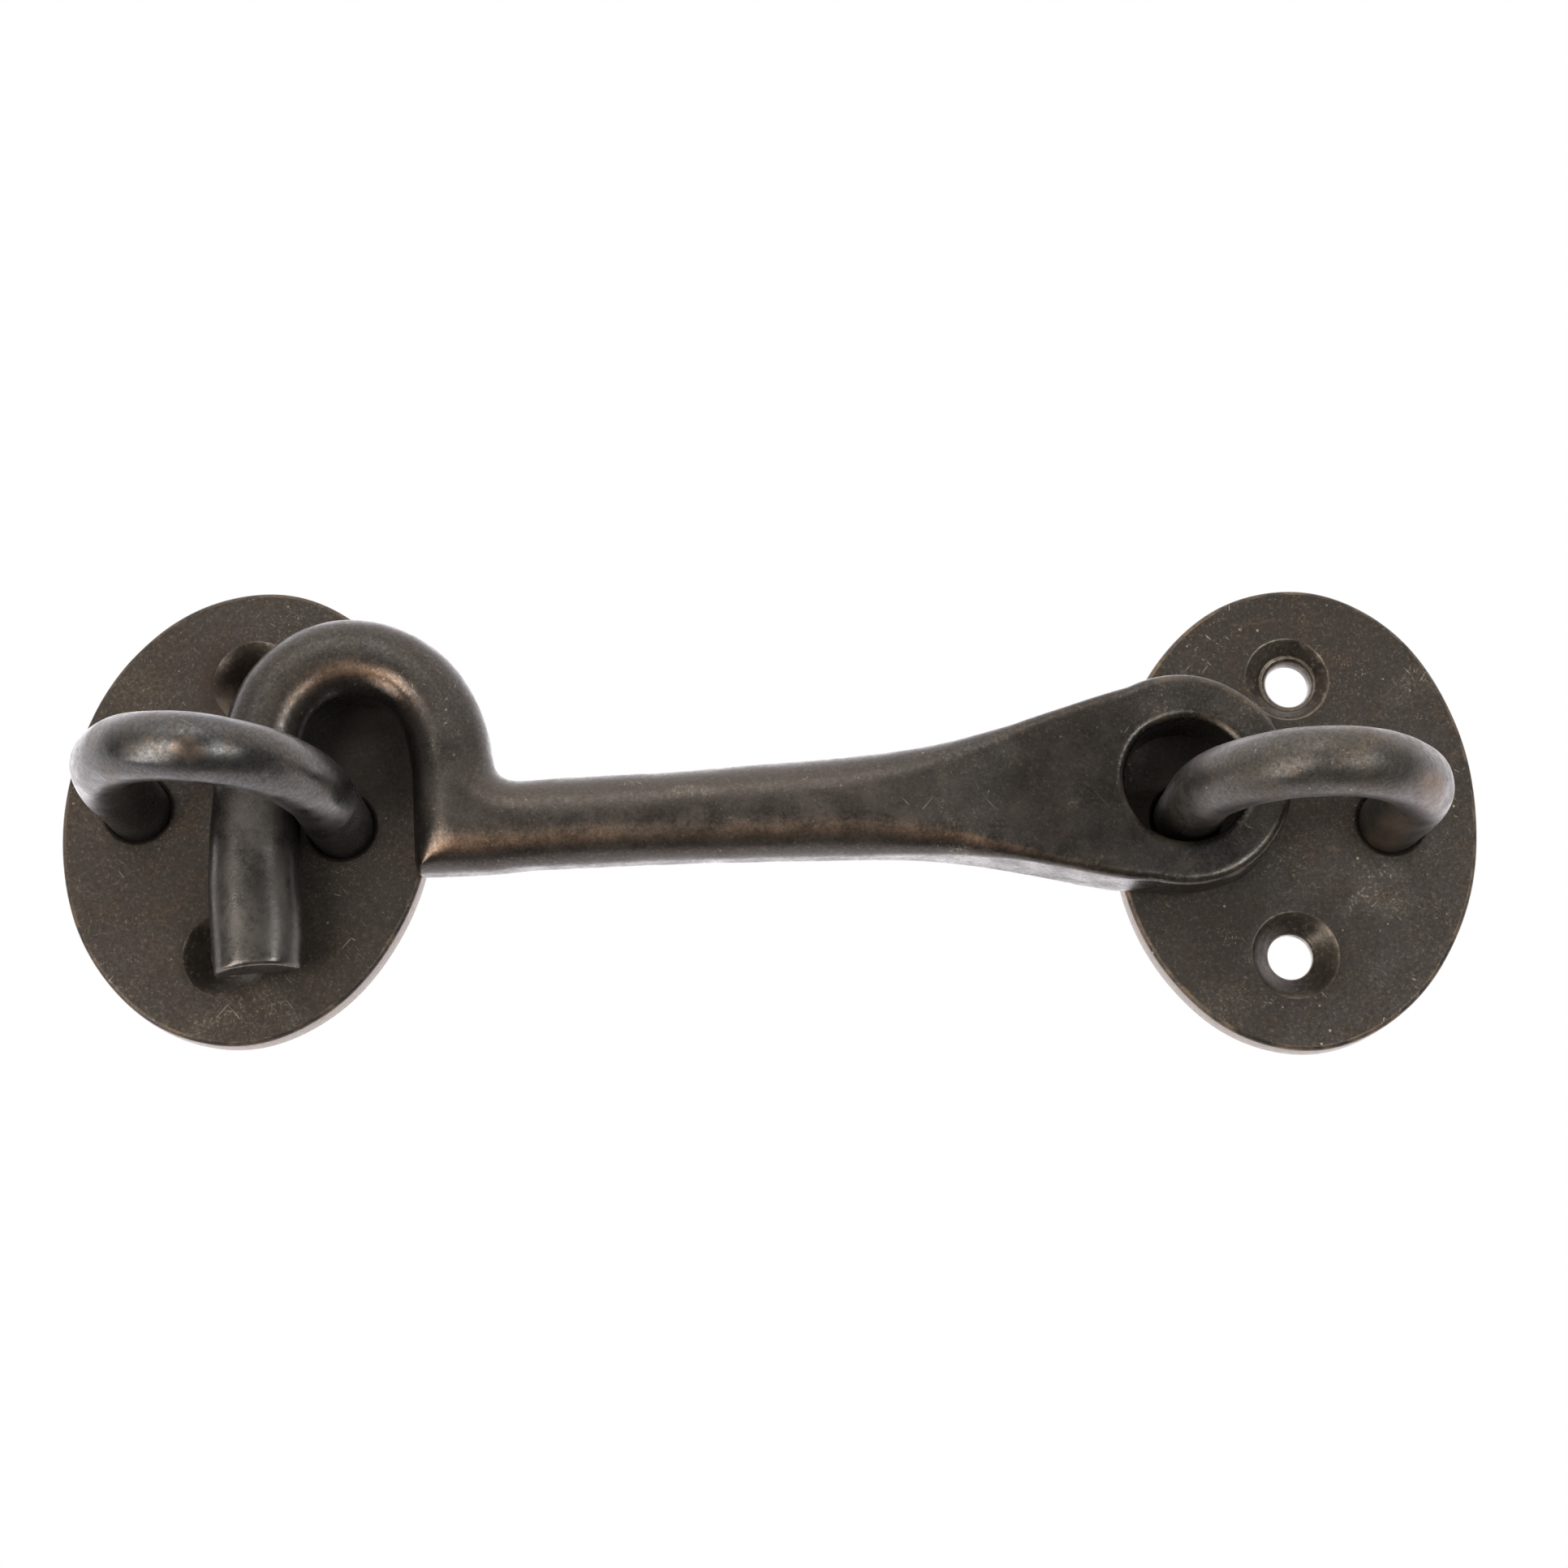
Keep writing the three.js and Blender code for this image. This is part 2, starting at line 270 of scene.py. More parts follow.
def surface_nets(fn, lo, hi, step):
    n = [int(math.ceil((hi[k] - lo[k]) / step)) + 1 for k in range(3)]
    ax = [lo[k] + step * np.arange(n[k]) for k in range(3)]
    vals = np.empty(n)
    for i in range(n[0]):
        Y, Z = np.meshgrid(ax[1], ax[2], indexing="ij")
        q = np.stack([np.full(Y.size, ax[0][i]), Y.ravel(), Z.ravel()], 1)
        vals[i] = fn(q).reshape(n[1], n[2])
    inside = vals < 0
    c = inside[:-1, :-1, :-1].astype(int)
    corners = [(i, j, k) for i in (0, 1) for j in (0, 1) for k in (0, 1)]
    total = sum(inside[i:n[0] - 1 + i, j:n[1] - 1 + j, k:n[2] - 1 + k].astype(int) for i, j, k in corners)
    active = (total > 0) & (total < 8)
    idx = -np.ones(active.shape, int)
    cells = np.argwhere(active)
    idx[active] = np.arange(len(cells))
    acc = np.zeros((len(cells), 3))
    cnt = np.zeros(len(cells))
    ci, cj, ck = cells.T
    for a in range(8):
        for b in range(a + 1, 8):
            A, B = np.array(corners[a]), np.array(corners[b])
            if np.abs(A - B).sum() != 1:
                continue
            va = vals[ci + A[0], cj + A[1], ck + A[2]]
            vb = vals[ci + B[0], cj + B[1], ck + B[2]]
            m = (va < 0) != (vb < 0)
            t = np.where(m, va / np.where(m, va - vb, 1), 0)
            pt = A + t[:, None] * (B - A)
            acc[m] += pt[m]
            cnt[m] += 1
    verts = np.array(lo) + step * (cells + acc / cnt[:, None])
    faces = []
    for axis in range(3):
        o = [k for k in range(3) if k != axis]
        sl0 = [slice(None)] * 3
        sl1 = [slice(None)] * 3
        sl0[axis] = slice(0, n[axis] - 1)
        sl1[axis] = slice(1, n[axis])
        cross = inside[tuple(sl0)] != inside[tuple(sl1)]
        e = np.argwhere(cross)
        e = e[(e[:, o[0]] > 0) & (e[:, o[1]] > 0) & (e[:, o[0]] < n[o[0]] - 1) & (e[:, o[1]] < n[o[1]] - 1)]
        quad = []
        for da, db in ((1, 1), (0, 1), (0, 0), (1, 0)):
            q = e.copy()
            q[:, o[0]] -= da
            q[:, o[1]] -= db
            quad.append(idx[tuple(q.T)])
        quad = np.stack(quad, 1)
        flip = inside[tuple(e.T)]
        if axis == 1:
            flip = ~flip
        quad[~flip] = quad[~flip][:, ::-1]
        faces.append(quad)
    return verts, np.vstack(faces)


def relax(fn, verts, faces, rounds=3):
    """Even out the net along the surface and put each vertex back on it."""
    e = np.vstack([faces[:, [0, 1]], faces[:, [1, 2]], faces[:, [2, 3]], faces[:, [3, 0]]])
    for r in range(rounds):
        acc = np.zeros_like(verts)
        cnt = np.zeros(len(verts))
        for a, b in ((0, 1), (1, 0)):
            np.add.at(acc, e[:, a], verts[e[:, b]])
            np.add.at(cnt, e[:, a], 1)
        avg = acc / cnt[:, None]
        g = gradient(fn, verts)
        nrm = g / np.maximum(np.linalg.norm(g, axis=1)[:, None], 1e-6)
        step = (avg - verts)
        step -= (step * nrm).sum(1)[:, None] * nrm
        verts = verts + 0.6 * step
        for _ in range(2):
            f = fn(verts)
            g = gradient(fn, verts)
            g2 = np.maximum((g * g).sum(1), 0.05)
            mv = f[:, None] * g / g2[:, None]
            ln = np.linalg.norm(mv, axis=1)[:, None]
            verts = verts - mv * np.minimum(1, 0.25 / np.maximum(ln, 1e-9))
    return verts


def convexity(fn, verts, e=0.35):
    """How sharply the surface turns out (+) or in (-) at each vertex."""
    lap = -6 * fn(verts)
    for k in range(3):
        s = np.zeros(3)
        s[k] = e
        lap = lap + fn(verts + s) + fn(verts - s)
    return lap / (e * e)


def worn_sheen(normals):
    """Rubbed patina facing the main lamp, partly real wear and partly a painted highlight: the front, a little towards
    the lower side.
    """
    tilt = np.degrees(np.arcsin(np.clip(normals[:, 2], -1, 1)))
    side = np.degrees(np.arctan2(normals[:, 0], -normals[:, 1]))
    return np.exp(-((tilt + 25) / 13) ** 2 - (side / 28) ** 2)


v, f = surface_nets(arm_field, (-104.4, -11.75, -17.2), (0.4, -3.0, 19.8), 0.36)
v = relax(arm_field, v, f, 3)
cv = convexity(arm_field, v)
g = gradient(arm_field, v)
g /= np.linalg.norm(g, axis=1)[:, None]
# worn_sheen: rubbed patina facing the main lamp, partly a painted highlight
arm = make_object("hook_arm_cast", v, f, attrs={
    "edge": np.clip(cv / 1.6, 0, 1), "hollow": np.clip(-cv / 1.2, 0, 1), "worn_sheen": worn_sheen(g) * (1 - smoothstep(v[:, 0], -30, -18))})


# ---- the staples: bent round bar with spread tails -------------------------
def staple(name, lean, angle, dx, dz, seed):
    half = LEG_PITCH / 2
    around, r = (64, BAR_R)
    pts = []
    for h in np.linspace(-PLATE_T + 1.5, LEG_STRAIGHT, 34, endpoint=False):
        pts.append((-half, h))
    for a in np.linspace(0, math.pi, 150):
        pts.append((-half * math.cos(a), LEG_STRAIGHT + ARCH_RISE * math.sin(a)))
    for h in np.linspace(-PLATE_T + 1.5, LEG_STRAIGHT, 34, endpoint=False)[::-1]:
        pts.append((half, h))
    pts = np.array(pts)
    c = np.stack([pts[:, 0], -PLATE_T - pts[:, 1], lean * np.maximum(pts[:, 1], 0)], 1)
    # the bar's own slight wander from the bending
    w = Waves(23.0, 5, seed)
    c += 0.10 * (np.stack([w(c), 0 * pts[:, 0], w(c + 31)], 1)) * smoothstep(pts[:, 1], 2.0, 9.0)[:, None]
    t = np.gradient(c, axis=0)
    t /= np.linalg.norm(t, axis=1)[:, None]
    side = np.array([0.0, 0.0, 1.0])
    u = np.cross(t, side)
    u /= np.linalg.norm(u, axis=1)[:, None]
    s = np.cross(u, t)
    rough = Waves(7.0, 9, seed + 5)
    fine = Waves(2.6, 9, seed + 9)
    rows = []
    bend = smoothstep(pts[:, 1], LEG_STRAIGHT - 1, LEG_STRAIGHT + 5)
    for i in range(len(c)):
        ang = np.linspace(0, 2 * math.pi, around, endpoint=False)
        # the bend flattens the bar very slightly on its inside
        ru = r * (1 + 0.006 * bend[i]) - 0.06 * bend[i] * np.maximum(0, np.cos(ang)) ** 2
        ring = c[i] + (ru * np.cos(ang))[:, None] * u[i] + (r * np.sin(ang))[:, None] * s[i]
        off = 0.030 * rough(ring) + 0.010 * fine(ring)
        off *= smoothstep(np.full(around, pts[i, 1]), -0.5, 1.5)
        ring += off[:, None] * (np.cos(ang)[:, None] * u[i] + np.sin(ang)[:, None] * s[i])
        rows.append(ring)
    # spread tails, from the bar down to a domed end just under the plate's back
    def tail(x, order):
        rr = [(3.02, -1.62), (3.05, -1.5), (3.9, -0.42), (3.96, -0.33), (3.93, -0.25), (3.7, -0.18),
              (3.0, -0.14), (2.0, -0.11), (1.0, -0.09)]
        out = []
        ang = np.linspace(0, 2 * math.pi, around, endpoint=False)
        base = rows[0] if order < 0 else rows[-1]
        cc = base.mean(0)
        rel = base - cc
        rel /= np.linalg.norm(rel, axis=1)[:, None]
        hammer = Waves(2.2, 8, seed + 20)
        for q, y in rr:
            ring = np.stack([x + q * rel[:, 0], np.full(around, y), q * rel[:, 2]], 1)
            if y > -0.3:
                ring[:, 1] += 0.035 * hammer(ring)
            out.append(ring)
        return out
    start = tail(-half, -1)
    end = tail(half, 1)
    rings = start[::-1] + rows + end
    V = np.vstack(rings + [[[-half, -0.085, 0.0]], [[half, -0.085, 0.0]]])
    F = []
    n = around
    for i in range(len(rings) - 1):
        a = i * n + np.arange(n)
        b = i * n + (np.arange(n) + 1) % n
        F.append(np.stack([a, b, b + n, a + n], 1))
    F = [tuple(q) for q in np.vstack(F)]
    k0, k1 = len(rings) * n, len(rings) * n + 1
    for j in range(n):
        F.append((k0, (j + 1) % n, j))
        o = (len(rings) - 1) * n
        F.append((k1, o + j, o + (j + 1) % n))
    V = turn(V, angle, dx, dz)
    ob = make_object(name, V, F)
    nr = np.zeros((len(V), 3))
    ob.data.vertices.foreach_get("normal", nr.ravel())
    nr = np.array([tuple(vt.normal) for vt in ob.data.vertices])
    # the same worn sheen on the staple's front, partly a painted highlight
    a = ob.data.attributes.new("worn_sheen", "FLOAT", "POINT")
    a.data.foreach_set("value", np.asarray(worn_sheen(nr) * smoothstep(-V[:, 1], 14, 22), np.float32))
    return ob


# ---- the plates: flat castings with rounded edges and real countersinks -----
def plate(name, angle, dx, dz, seed, drilled, grow_a, grow_b):
    wave = Waves(15.0, 6, seed)
    small = Waves(4.5, 8, seed + 3)
    V, F = [], []
    ra, rb = PLATE_A + grow_a, PLATE_B + grow_b

    def add(points):
        base = len(V)
        V.extend(points)
        return np.arange(base, base + len(points))

    def strip(a, b):
        n = len(a)
        for i in range(n):
            j = (i + 1) % n
            F.append((a[i], a[j], b[j], b[i]))

    def oval(inset, y, n=220):
        t = np.linspace(0, 2 * math.pi, n, endpoint=False)
        # hand-fettled edge: a little off a true oval
        rr = 0.05 * np.sin(3 * t + seed) + 0.04 * np.sin(5 * t + 2 * seed) + 0.02 * np.sin(11 * t + seed)
        nx, nz = np.cos(t) / ra, np.sin(t) / rb
        ln = np.hypot(nx, nz)
        x = OFF_X + ra * np.cos(t) - (inset - rr) * nx / ln
        z = OFF_Z + rb * np.sin(t) - (inset - rr) * nz / ln
        return np.stack([x, np.full(n, y), z], 1)

    def circle(cx, cz, r, y, n=88, wob=0.0):
        t = np.linspace(0, 2 * math.pi, n, endpoint=False)
        rr = r + wob * np.sin(2 * t + seed) + wob * 0.6 * np.sin(3 * t + 1.7 * seed)
        return np.stack([cx + rr * np.cos(t), np.full(n, y), cz + rr * np.sin(t)], 1)

    half = LEG_PITCH / 2
    e = 0.5
    sink, rim, side = [], [], []
    # outer edge: front round, slightly drafted side, small back round
    prof = []
    for a in np.linspace(0, math.pi / 2, 7):
        prof.append((e * (1 - math.sin(a)), -PLATE_T + e * (1 - math.cos(a))))
    prof.append((-0.02, -PLATE_T / 2))
    for a in np.linspace(0, math.pi / 2, 5):
        prof.append((0.3 * (1 - math.cos(a)), -0.3 + 0.3 * math.sin(a)))
    loops = [add(list(oval(i, y))) for i, y in prof]
    for lp in loops[1:6]:
        rim.extend(lp.tolist())
    for lp in loops[6:11]:
        side.extend(lp.tolist())
    for a, b in zip(loops[:-1], loops[1:]):
        strip(a, b)
    front_loops, back_loops = [loops[0]], [loops[-1]]
    # screw holes
    # each is drilled a little off its countersink: (countersink x, z, radius), (hole x, z, radius), ledge
    for z, ((sx, sz, sr), (hx, hz, hr), ledge) in zip((SCREW_PITCH / 2, -SCREW_PITCH / 2), drilled):
        prof = [(sr + 0.20, 0.0, 0.0), (sr + 0.07, 0.03, 0.0), (sr - 0.05, 0.11, 0.0)]
        if ledge:
            prof += [(sr - 0.35, 0.42, 0.15), (sr - 0.80, 0.88, 0.38), (sr - 1.12, 1.22, 0.55), (sr - 1.20, 1.33, 0.60),
                     (sr - 1.28, 1.36, 0.64), (sr - 1.40, 1.33, 0.70), (hr + 0.30, 1.44, 0.85), (hr + 0.10, 1.80, 1.0)]
        else:
            prof += [(sr + (hr + 0.05 - sr) * q, SINK_D * q, q) for q in (0.13, 0.3, 0.47, 0.64, 0.8, 0.93)]
        prof += [(hr + 0.02, SINK_D, 1.0), (hr, SINK_D + 0.12, 1.0), (hr, PLATE_T - 0.5, 1.0), (hr, PLATE_T - 0.12, 1.0),
                 (hr + 0.04, PLATE_T - 0.03, 1.0), (hr + 0.12, PLATE_T, 1.0)]
        ls = [add(list(circle(sx + (hx - sx) * q, z + sz + (hz - sz) * q, r, depth - PLATE_T, wob=0.015))) for r, depth, q in prof]
        for a, b in zip(ls[:-1], ls[1:]):
            strip(b, a)
        for lp in ls[1:]:
            sink.extend(lp.tolist())
        front_loops.append(ls[0])
        back_loops.append(ls[-1])
    # leg holes, open at the front with a soft lip, flared at the back
    for x in (-half, half):
        g = BAR_R + 0.02
        prof = [(g + 0.48, -PLATE_T), (g + 0.38, -PLATE_T + 0.02), (g + 0.28, -PLATE_T + 0.08), (g + 0.10, -PLATE_T + 0.20), (g, -PLATE_T + 0.30),
                (g, -1.62), (g + 0.03, -1.5), (4.08, -0.36), (4.12, -0.2), (4.15, -0.06), (4.28, 0.0)]
        ls = [add(list(circle(x, 0, r, y))) for r, y in prof]
        for a, b in zip(ls[:-1], ls[1:]):
            strip(b, a)
        front_loops.append(ls[0])
        back_loops.append(ls[-1])

    def cap(loop_ids, y, pitch, out_dir):
        P, edges = [], []
        ids = []
        for lp in loop_ids:
            b = len(P)
            for q in lp:
                P.append((V[q][0], V[q][2]))
                ids.append(q)
            for i in range(len(lp)):
                edges.append((b + i, b + (i + 1) % len(lp)))
        poly = np.array([P[i] for i in range(len(loop_ids[0]))])
        gx = np.arange(OFF_X - ra, OFF_X + ra, pitch)
        gz = np.arange(OFF_Z - rb, OFF_Z + rb, pitch * 0.87)
        grid = []
        for j, zz in enumerate(gz):
            for xx in gx:
                grid.append((xx + (pitch / 2 if j % 2 else 0), zz))
        grid = np.array(grid)
        nrm = np.hypot((grid[:, 0] - OFF_X) / (ra - 1.25), (grid[:, 1] - OFF_Z) / (rb - 1.25))
        ok = nrm < 1
        holes = [tuple(np.mean([(V[q][0], V[q][2]) for q in lp], 0)) for lp in loop_ids[1:]]
        for (hx, hz), lp in zip(holes, loop_ids[1:]):
            r = np.hypot(V[lp[0]][0] - hx, V[lp[0]][2] - hz)
            ok &= np.hypot(grid[:, 0] - hx, grid[:, 1] - hz) > r + 0.45 * pitch
        grid = grid[ok]
        nb = len(P)
        P += [tuple(g) for g in grid]
        res = delaunay_2d_cdt([Vector(q) for q in P], edges, [], 0, 1e-6)
        vs, fs, orig = res[0], res[2], res[3]
        mapping = {}
        for i, o in enumerate(orig):
            k = min(o) if len(o) else -1
            if k < 0:
                mapping[i] = None
            elif k < nb:
                mapping[i] = ids[k]
            else:
                mapping[i] = ("g", k - nb)
        gid = {}
        for tri in fs:
            cx = sum(vs[i][0] for i in tri) / len(tri)
            cz = sum(vs[i][1] for i in tri) / len(tri)
            if any(math.hypot(cx - hx, cz - hz) < np.hypot(V[lp[0]][0] - hx, V[lp[0]][2] - hz) - 0.02
                   for (hx, hz), lp in zip(holes, loop_ids[1:])):
                continue
            if not inside_poly(cx, cz, poly):
                continue
            out = []
            for i in tri:
                m = mapping[i]
                if m is None:
                    m = ("n", i)
                if isinstance(m, tuple):
                    if m not in gid:
                        V.append(np.array([vs[i][0], y, vs[i][1]]))
                        gid[m] = len(V) - 1
                    m = gid[m]
                out.append(m)
            a, b, c = (np.array(V[q]) for q in out[:3])
            nn = np.cross(b - a, c - a)
            if nn[1] * out_dir < 0:
                out = out[::-1]
            F.append(tuple(out))

    def inside_poly(x, z, poly):
        a = poly
        b = np.roll(poly, -1, axis=0)
        cond = (a[:, 1] > z) != (b[:, 1] > z)
        a, b = a[cond], b[cond]
        xi = a[:, 0] + (z - a[:, 1]) * (b[:, 0] - a[:, 0]) / (b[:, 1] - a[:, 1])
        return (x < xi).sum() % 2 == 1

    cap(front_loops, -PLATE_T, 0.75, -1)
    cap(back_loops, 0.0, 1.6, 1)
    V2 = np.array(V)
    # cast unevenness on the front, none on the flat back
    k = smoothstep(-V2[:, 1], 1.6, 3.0)
    V2[:, 1] += k * (0.030 * wave(V2) + 0.010 * small(V2) + 0.012)
    V2 = turn(V2, angle, dx, dz)
    flag = np.zeros(len(V2))
    flag[sink] = 1.0
    edge = np.zeros(len(V2))
    edge[rim] = 1.0
    wall = np.zeros(len(V2))
    wall[side] = 1.0
    return make_object(name, V2, F, attrs={"sink": flag, "edge": edge, "wall": wall})


pivot_plate = plate("pivot_plate_cast", PIVOT_TURN, 0, 0, 11,
                    (((0.28, 0.60, 4.02), (0.66, 0.55, 2.15), True), ((0.36, 0.14, 4.12), (0.20, 0.34, 2.18), False)), 0.05, 0.33)
keeper_plate = plate("keeper_plate_cast", KEEPER_TURN, -CENTRES, KEEPER_RISE, 23,
                     (((-0.25, 0.2, 4.1), (0.38, -0.12, 1.95), False), ((0.45, 0.0, 4.05), (0.62, 0.42, 1.95), False)), 0.28, 0.02)
pivot_staple = staple("pivot_staple_bar", -0.0368, PIVOT_TURN, 0, 0, 31)
keeper_staple = staple("keeper_staple_bar", 0.0165, KEEPER_TURN, -CENTRES, KEEPER_RISE, 47)

for ob, node, body, slot in (
        (pivot_plate, "pivot_plate", "plates", "plate_bronze"),
        (keeper_plate, "keeper_plate", "plates", "plate_bronze"),
        (pivot_staple, "pivot_staple", "plates", "staple_bronze"),
        (keeper_staple, "keeper_staple", "plates", "staple_bronze"),
        (arm, "hook_arm", "hook", "hook_bronze")):
    me = ob.data
    import bmesh
    bm = bmesh.new()
    bm.from_mesh(me)
    bmesh.ops.recalc_face_normals(bm, faces=bm.faces)
    bm.to_mesh(me)
    bm.free()
    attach(ob, body)
    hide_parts(node)


# ---- materials ------------------------------------------------------------
class Nodes:
    def __init__(self, mat):
        self.nt = mat.node_tree
        self.nt.nodes.clear()

    def new(self, kind, **kw):
        n = self.nt.nodes.new(kind)
        ins = kw.pop("ins", {})
        for k, val in kw.items():
            setattr(n, k, val)
        for k, val in ins.items():
            if isinstance(val, bpy.types.NodeSocket):
                self.nt.links.new(val, n.inputs[k])
            else:
                n.inputs[k].default_value = val
        return n

    def noise(self, coord, scale, detail=4.0, rough=0.55, distort=0.0):
        return self.new("ShaderNodeTexNoise", ins={"Vector": coord, "Scale": scale, "Detail": detail,
                                                   "Roughness": rough, "Distortion": distort}).outputs["Fac"]

    def ramp(self, fac, a, b, lo=0.0, hi=1.0):
        n = self.new("ShaderNodeMapRange", interpolation_type="SMOOTHSTEP",
                     ins={"Value": fac, "From Min": a, "From Max": b, "To Min": lo, "To Max": hi})
        return n.outputs["Result"]

    def math(self, op, a, b=0.0):
        return self.new("ShaderNodeMath", operation=op, ins={0: a, 1: b}).outputs[0]

    def mix(self, fac, a, b, kind="MIX"):
        n = self.nt.nodes.new("ShaderNodeMix")
        n.data_type = "RGBA"
        n.blend_type = kind
        for key, val in (("Factor", fac), ("A", a), ("B", b)):
            s = [i for i in n.inputs if i.name == key and (i.type == "RGBA" or key == "Factor" and i.type == "VALUE")][0]
            if isinstance(val, bpy.types.NodeSocket):
                self.nt.links.new(val, s)
            elif key == "Factor":
                s.default_value = val
            else:
                s.default_value = (*val, 1.0)
        return [o for o in n.outputs if o.type == "RGBA"][0]


def stretched(N, coord, angle, sx, sy, sz):
    m = N.new("ShaderNodeMapping", ins={"Vector": coord, "Rotation": angle})
    m = N.new("ShaderNodeMapping", ins={"Vector": m.outputs["Vector"], "Scale": (sx, sy, sz)})
    return m.outputs["Vector"]


def bronze(name, dark, warm, cool, rough=0.42, dust=0.5, grain=1.0, wear=1.0, metal=0.85, edge_attr=False, offset=0.0, worn_sheen_gain=0.0, sinks=False, scuffs=(), mottle=0.75, painted_shade_sheen_and_rub=()):
    mat = bpy.data.materials.new(name)
    mat.use_nodes = True
    N = Nodes(mat)
    tc = N.new("ShaderNodeTexCoord").outputs["Object"]
    raw = tc
    if offset:
        tc = N.new("ShaderNodeVectorMath", operation="ADD", ins={0: tc, 1: (offset, offset * 0.7, -offset)}).outputs[0]
    big = N.noise(tc, 70, 3, 0.6, 0.4)
    # fine grain everywhere: dark pores and pale grit
    pores = N.noise(tc, 3400, 3, 0.75)
    mid = N.noise(tc, 330, 5, 0.62, 0.2)
    fine = N.noise(tc, 2300, 4, 0.7)
    speck = N.noise(tc, 5200, 2, 0.6)
    # base patina: nearly black with warm and cool drifts
    col = N.mix(N.ramp(big, 0.38, 0.64), dark, cool)
    col = N.mix(N.math("MULTIPLY", N.ramp(mid, 0.46, 0.72), mottle), col, warm)
    col = N.mix(N.ramp(fine, 0.30, 0.72, 0.0, 0.6), col, tuple(c * 0.55 for c in dark))
    col = N.mix(N.ramp(pores, 0.50, 0.34, 0.0, 0.55), col, (0.016, 0.013, 0.011))
    col = N.mix(N.ramp(pores, 0.56, 0.72, 0.0, 0.30), col, (0.165, 0.130, 0.10))
    # bronze showing where it has been handled
    if edge_attr:
        ed = N.new("ShaderNodeAttribute", attribute_name="edge").outputs["Fac"]
        rub = N.math("MULTIPLY", N.ramp(ed, 0.30, 0.95), N.ramp(mid, 0.40, 0.66))
        col = N.mix(N.math("MULTIPLY", rub, 0.55 * wear), col, (0.165, 0.118, 0.078))
    # worn sheen: a coppery band facing the left lamp, partly rubbed bronze and partly a painted highlight
    if worn_sheen_gain:
        worn_sheen_mask = N.new("ShaderNodeAttribute", attribute_name="worn_sheen").outputs["Fac"]
        worn_sheen_mask = N.math("MULTIPLY", N.math("MULTIPLY", worn_sheen_mask, N.ramp(mid, 0.36, 0.60, 0.72, 1.0)), N.ramp(big, 0.38, 0.58, 0.62, 1.0))
        worn_sheen_mask = N.math("MULTIPLY", worn_sheen_mask, N.ramp(pores, 0.36, 0.62, 0.60, 1.0))
        col = N.mix(N.math("MULTIPLY", worn_sheen_mask, worn_sheen_gain), col, (0.20, 0.118, 0.070))
    # streaks where rubbing shows the bronze
    rubs = N.math("MULTIPLY", N.ramp(N.noise(stretched(N, tc, (0, 0.06, 0), 0.35, 1, 1), 420, 5, 0.68, 0.5), 0.60, 0.76), 0.42 * wear)
    col = N.mix(rubs, col, (0.13, 0.085, 0.052))
    # dry dust: fine pale specks gathered in patches
    patch = N.ramp(N.noise(tc, 150, 4, 0.7, 0.6), 0.52, 0.72)
    dots = N.ramp(speck, 0.63, 0.72)
    d1 = N.math("MULTIPLY", dots, N.math("ADD", N.math("MULTIPLY", patch, 0.75 * dust), 0.14 * dust))
    col = N.mix(d1, col, (0.34, 0.275, 0.20))
    vor = N.new("ShaderNodeTexVoronoi", feature="F1", ins={"Vector": tc, "Scale": 1150.0, "Randomness": 1.0})
    size = N.new("ShaderNodeSeparateColor", ins={"Color": vor.outputs["Color"]}).outputs[0]
    pt = N.math("LESS_THAN", vor.outputs["Distance"], N.math("MULTIPLY", N.ramp(size, 0.78, 1.0), 0.15))
    col = N.mix(N.math("MULTIPLY", pt, 0.55 * dust), col, (0.36, 0.295, 0.22))
    # short hair-fine marks
    lines = None
    for i, ang in enumerate(((0, 0.9, 0), (0, -0.5, 0.2), (0.3, 1.5, 0), (0.1, 2.3, 0.1))):
        sv = stretched(N, tc, ang, 0.07, 1, 1)
        ln = N.ramp(N.noise(sv, 3600 + 500 * i, 1.5, 0.5), 0.70, 0.74)
        lines = ln if lines is None else N.math("MAXIMUM", lines, ln)
    gate = N.ramp(N.noise(tc, 210, 2, 0.5), 0.56, 0.64)
    lines = N.math("MULTIPLY", N.math("MULTIPLY", lines, gate), 0.45 * dust)
    col = N.mix(lines, col, (0.36, 0.33, 0.27))
    if sinks:
        sk = N.new("ShaderNodeAttribute", attribute_name="sink").outputs["Fac"]
        # countersink cones painted lighter and warmer: a painted highlight inside them
        sink_painted_highlight = N.mix(N.ramp(mid, 0.40, 0.62), (0.085, 0.071, 0.054), (0.036, 0.029, 0.023))
        sink_painted_highlight = N.mix(N.ramp(fine, 0.52, 0.68), sink_painted_highlight, (0.135, 0.11, 0.080))
        col = N.mix(N.math("MULTIPLY", sk, 0.85), col, sink_painted_highlight)
        # plate side walls painted pale: a painted reflection of the bright light they catch at grazing
        wall_painted_sheen = N.new("ShaderNodeAttribute", attribute_name="wall").outputs["Fac"]
        wall_painted_sheen = N.math("MULTIPLY", wall_painted_sheen, N.ramp(mid, 0.38, 0.60, 0.42, 0.66))
        col = N.mix(wall_painted_sheen, col, (0.27, 0.235, 0.205))
    # places with their own scatter of dust: centre, reach and strength
    for sx, sz, rx, rz, tilt, gain in scuffs:
        at = N.new("ShaderNodeVectorMath", operation="SUBTRACT", ins={0: raw, 1: (sx * MM, 0, sz * MM)}).outputs[0]
        at = stretched(N, at, (0, tilt, 0), 1000.0 / rx, 0.0, 1000.0 / rz)
        ln = N.new("ShaderNodeVectorMath", operation="LENGTH", ins={0: at}).outputs["Value"]
        ln = N.math("ADD", ln, N.math("MULTIPLY", N.math("SUBTRACT", mid, 0.5), 2.2))
        near = N.ramp(ln, 1.45, 0.25)
        grit = N.math("MULTIPLY", near, N.ramp(N.noise(raw, 3300, 4, 0.75), 0.52, 0.68, 0.06, 1.0))
        col = N.mix(N.math("MULTIPLY", grit, gain * 0.78), col, (0.285, 0.24, 0.175))
